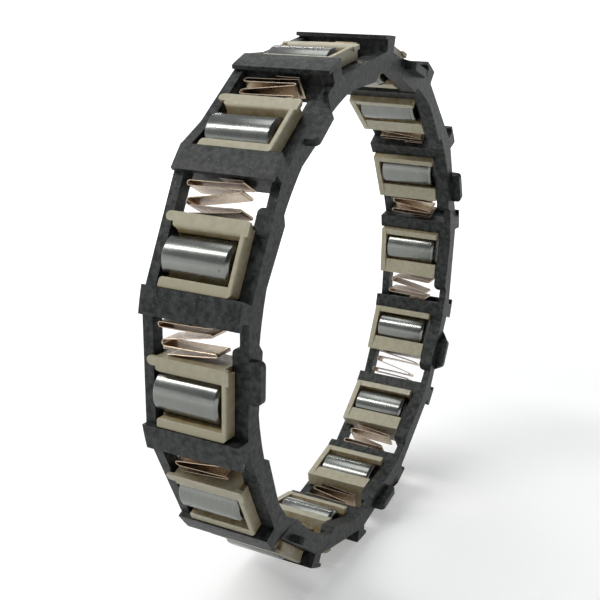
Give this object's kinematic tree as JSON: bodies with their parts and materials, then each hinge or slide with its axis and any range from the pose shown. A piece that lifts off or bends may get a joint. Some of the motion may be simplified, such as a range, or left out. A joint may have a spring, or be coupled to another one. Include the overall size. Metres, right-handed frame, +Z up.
{
  "type": "roller clutch",
  "caption": "One-way clutch ring of an automatic transmission: a moulded cage of pockets, each with a steel roller in a sliding shoe and a folded strip spring; lugs on one rim.",
  "frame": {"origin": "on the clutch axis, halfway between the plain face of the cage and the ends of its lugs", "axes": "+Y along the clutch axis towards the lugged rim, +Z up through the middle of one pad, +X to the right as seen from the plain side"},
  "size_m": [0.1048, 0.0208, 0.106],
  "materials": {
    "cage_plastic": "satin moulded, glass-filled nylon",
    "shoe_plastic": "semi-gloss moulded, natural",
    "roller_steel": "ground and polished",
    "spring_strip": "straw-coloured spring strip"
  },
  "bodies": {
    "cage": {"cage": "cage_plastic", "spring_01": "spring_strip", "spring_02": "spring_strip", "spring_03": "spring_strip", "spring_04": "spring_strip", "spring_05": "spring_strip", "spring_06": "spring_strip", "spring_07": "spring_strip", "spring_08": "spring_strip", "spring_09": "spring_strip", "spring_10": "spring_strip", "spring_11": "spring_strip", "spring_12": "spring_strip", "spring_13": "spring_strip", "spring_14": "spring_strip"},
    "shoe_01": {"shoe_01": "shoe_plastic"},
    "roller_01": {"roller_01": "roller_steel"},
    "shoe_02": {"shoe_02": "shoe_plastic"},
    "roller_02": {"roller_02": "roller_steel"},
    "shoe_03": {"shoe_03": "shoe_plastic"},
    "roller_03": {"roller_03": "roller_steel"},
    "shoe_04": {"shoe_04": "shoe_plastic"},
    "roller_04": {"roller_04": "roller_steel"},
    "shoe_05": {"shoe_05": "shoe_plastic"},
    "roller_05": {"roller_05": "roller_steel"},
    "shoe_06": {"shoe_06": "shoe_plastic"},
    "roller_06": {"roller_06": "roller_steel"},
    "shoe_07": {"shoe_07": "shoe_plastic"},
    "roller_07": {"roller_07": "roller_steel"},
    "shoe_08": {"shoe_08": "shoe_plastic"},
    "roller_08": {"roller_08": "roller_steel"},
    "shoe_09": {"shoe_09": "shoe_plastic"},
    "roller_09": {"roller_09": "roller_steel"},
    "shoe_10": {"shoe_10": "shoe_plastic"},
    "roller_10": {"roller_10": "roller_steel"},
    "shoe_11": {"shoe_11": "shoe_plastic"},
    "roller_11": {"roller_11": "roller_steel"},
    "shoe_12": {"shoe_12": "shoe_plastic"},
    "roller_12": {"roller_12": "roller_steel"},
    "shoe_13": {"shoe_13": "shoe_plastic"},
    "roller_13": {"roller_13": "roller_steel"},
    "shoe_14": {"shoe_14": "shoe_plastic"},
    "roller_14": {"roller_14": "roller_steel"}
  },
  "joints": [
    {"name": "shoe_01_travel", "type": "hinge", "parent": "cage", "child": "shoe_01", "pos_m": [0, 0, 0], "axis": [0, -1, 0], "range_deg": [0, 2], "stiffness_Nm_per_rad": 1.2, "springref_deg": -2.86, "deforming": ["spring_01"]},
    {"name": "roller_01_spin", "type": "hinge", "parent": "shoe_01", "child": "roller_01", "pos_m": [0.01444, 0, 0.0463], "axis": [0, 1, 0], "continuous": true},
    {"name": "shoe_02_travel", "type": "hinge", "parent": "cage", "child": "shoe_02", "pos_m": [0, 0, 0], "axis": [0, -1, 0], "range_deg": [0, 2], "stiffness_Nm_per_rad": 1.2, "springref_deg": -2.86, "deforming": ["spring_02"]},
    {"name": "roller_02_spin", "type": "hinge", "parent": "shoe_02", "child": "roller_02", "pos_m": [0.0331, 0, 0.03545], "axis": [0, 1, 0], "continuous": true},
    {"name": "shoe_03_travel", "type": "hinge", "parent": "cage", "child": "shoe_03", "pos_m": [0, 0, 0], "axis": [0, -1, 0], "range_deg": [0, 2], "stiffness_Nm_per_rad": 1.2, "springref_deg": -2.86, "deforming": ["spring_03"]},
    {"name": "roller_03_spin", "type": "hinge", "parent": "shoe_03", "child": "roller_03", "pos_m": [0.0452, 0, 0.01758], "axis": [0, 1, 0], "continuous": true},
    {"name": "shoe_04_travel", "type": "hinge", "parent": "cage", "child": "shoe_04", "pos_m": [0, 0, 0], "axis": [0, -1, 0], "range_deg": [0, 2], "stiffness_Nm_per_rad": 1.2, "springref_deg": -2.86, "deforming": ["spring_04"]},
    {"name": "roller_04_spin", "type": "hinge", "parent": "shoe_04", "child": "roller_04", "pos_m": [0.04835, 0, -0.00377], "axis": [0, 1, 0], "continuous": true},
    {"name": "shoe_05_travel", "type": "hinge", "parent": "cage", "child": "shoe_05", "pos_m": [0, 0, 0], "axis": [0, -1, 0], "range_deg": [0, 2], "stiffness_Nm_per_rad": 1.2, "springref_deg": -2.86, "deforming": ["spring_05"]},
    {"name": "roller_05_spin", "type": "hinge", "parent": "shoe_05", "child": "roller_05", "pos_m": [0.04193, 0, -0.02438], "axis": [0, 1, 0], "continuous": true},
    {"name": "shoe_06_travel", "type": "hinge", "parent": "cage", "child": "shoe_06", "pos_m": [0, 0, 0], "axis": [0, -1, 0], "range_deg": [0, 2], "stiffness_Nm_per_rad": 1.2, "springref_deg": -2.86, "deforming": ["spring_06"]},
    {"name": "roller_06_spin", "type": "hinge", "parent": "shoe_06", "child": "roller_06", "pos_m": [0.0272, 0, -0.04016], "axis": [0, 1, 0], "continuous": true},
    {"name": "shoe_07_travel", "type": "hinge", "parent": "cage", "child": "shoe_07", "pos_m": [0, 0, 0], "axis": [0, -1, 0], "range_deg": [0, 2], "stiffness_Nm_per_rad": 1.2, "springref_deg": -2.86, "deforming": ["spring_07"]},
    {"name": "roller_07_spin", "type": "hinge", "parent": "shoe_07", "child": "roller_07", "pos_m": [0.00708, 0, -0.04798], "axis": [0, 1, 0], "continuous": true},
    {"name": "shoe_08_travel", "type": "hinge", "parent": "cage", "child": "shoe_08", "pos_m": [0, 0, 0], "axis": [0, -1, 0], "range_deg": [0, 2], "stiffness_Nm_per_rad": 1.2, "springref_deg": -2.86, "deforming": ["spring_08"]},
    {"name": "roller_08_spin", "type": "hinge", "parent": "shoe_08", "child": "roller_08", "pos_m": [-0.01444, 0, -0.0463], "axis": [0, 1, 0], "continuous": true},
    {"name": "shoe_09_travel", "type": "hinge", "parent": "cage", "child": "shoe_09", "pos_m": [0, 0, 0], "axis": [0, -1, 0], "range_deg": [0, 2], "stiffness_Nm_per_rad": 1.2, "springref_deg": -2.86, "deforming": ["spring_09"]},
    {"name": "roller_09_spin", "type": "hinge", "parent": "shoe_09", "child": "roller_09", "pos_m": [-0.0331, 0, -0.03545], "axis": [0, 1, 0], "continuous": true},
    {"name": "shoe_10_travel", "type": "hinge", "parent": "cage", "child": "shoe_10", "pos_m": [0, 0, 0], "axis": [0, -1, 0], "range_deg": [0, 2], "stiffness_Nm_per_rad": 1.2, "springref_deg": -2.86, "deforming": ["spring_10"]},
    {"name": "roller_10_spin", "type": "hinge", "parent": "shoe_10", "child": "roller_10", "pos_m": [-0.0452, 0, -0.01758], "axis": [0, 1, 0], "continuous": true},
    {"name": "shoe_11_travel", "type": "hinge", "parent": "cage", "child": "shoe_11", "pos_m": [0, 0, 0], "axis": [0, -1, 0], "range_deg": [0, 2], "stiffness_Nm_per_rad": 1.2, "springref_deg": -2.86, "deforming": ["spring_11"]},
    {"name": "roller_11_spin", "type": "hinge", "parent": "shoe_11", "child": "roller_11", "pos_m": [-0.04835, 0, 0.00377], "axis": [0, 1, 0], "continuous": true},
    {"name": "shoe_12_travel", "type": "hinge", "parent": "cage", "child": "shoe_12", "pos_m": [0, 0, 0], "axis": [0, -1, 0], "range_deg": [0, 2], "stiffness_Nm_per_rad": 1.2, "springref_deg": -2.86, "deforming": ["spring_12"]},
    {"name": "roller_12_spin", "type": "hinge", "parent": "shoe_12", "child": "roller_12", "pos_m": [-0.04193, 0, 0.02438], "axis": [0, 1, 0], "continuous": true},
    {"name": "shoe_13_travel", "type": "hinge", "parent": "cage", "child": "shoe_13", "pos_m": [0, 0, 0], "axis": [0, -1, 0], "range_deg": [0, 2], "stiffness_Nm_per_rad": 1.2, "springref_deg": -2.86, "deforming": ["spring_13"]},
    {"name": "roller_13_spin", "type": "hinge", "parent": "shoe_13", "child": "roller_13", "pos_m": [-0.0272, 0, 0.04016], "axis": [0, 1, 0], "continuous": true},
    {"name": "shoe_14_travel", "type": "hinge", "parent": "cage", "child": "shoe_14", "pos_m": [0, 0, 0], "axis": [0, -1, 0], "range_deg": [0, 2], "stiffness_Nm_per_rad": 1.2, "springref_deg": -2.86, "deforming": ["spring_14"]},
    {"name": "roller_14_spin", "type": "hinge", "parent": "shoe_14", "child": "roller_14", "pos_m": [-0.00708, 0, 0.04798], "axis": [0, 1, 0], "continuous": true}
  ]
}
